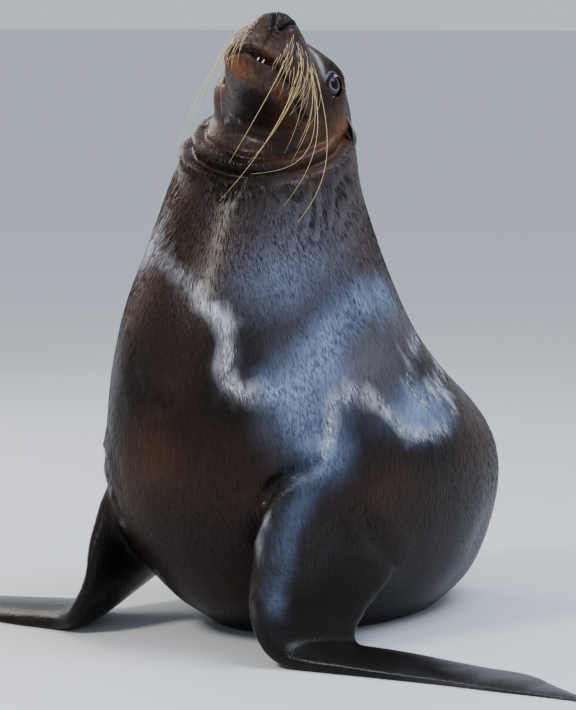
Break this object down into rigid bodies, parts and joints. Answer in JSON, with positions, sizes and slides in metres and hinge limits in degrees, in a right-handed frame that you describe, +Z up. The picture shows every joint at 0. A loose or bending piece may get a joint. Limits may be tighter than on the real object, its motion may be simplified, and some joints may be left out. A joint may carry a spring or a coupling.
{
  "type": "sea lion, seated",
  "caption": "Life-size seated sea lion: heavy upright body on spread fore flippers, thick neck, head turned to its left with the nose raised, folded hind flippers and a short tail.",
  "frame": {"origin": "on the floor under the belly, in the middle plane of the trunk", "axes": "+Z up from the floor, -Y the way the chest faces, +X to the animal's own left"},
  "size_m": [1.3876, 0.9209, 0.9554],
  "materials": {
    "fur": "short wet fur, near black, drying paler in bands",
    "face": "very short dark brown fur, orange brown on muzzle and chin",
    "flipper": "bare black skin, wet and glossy",
    "eye": "wet and clear over a dark brown iris",
    "claw": "grey brown horn"
  },
  "bodies": {
    "root": {"head": "face", "lower_jaw": "face", "neck": "fur", "chest": "fur", "hindquarters": "fur", "tail": "fur", "left_ear": "face", "right_ear": "face", "left_eye": "eye", "right_eye": "eye", "left_forearm": "flipper", "right_forearm": "flipper", "left_foreflipper": "flipper", "right_foreflipper": "flipper", "left_hind_flipper": "flipper", "right_hind_flipper": "flipper", "left_hind_claw_1": "claw", "left_hind_claw_2": "claw", "left_hind_claw_3": "claw", "right_hind_claw_1": "claw", "right_hind_claw_2": "claw", "right_hind_claw_3": "claw"}
  },
  "joints": []
}
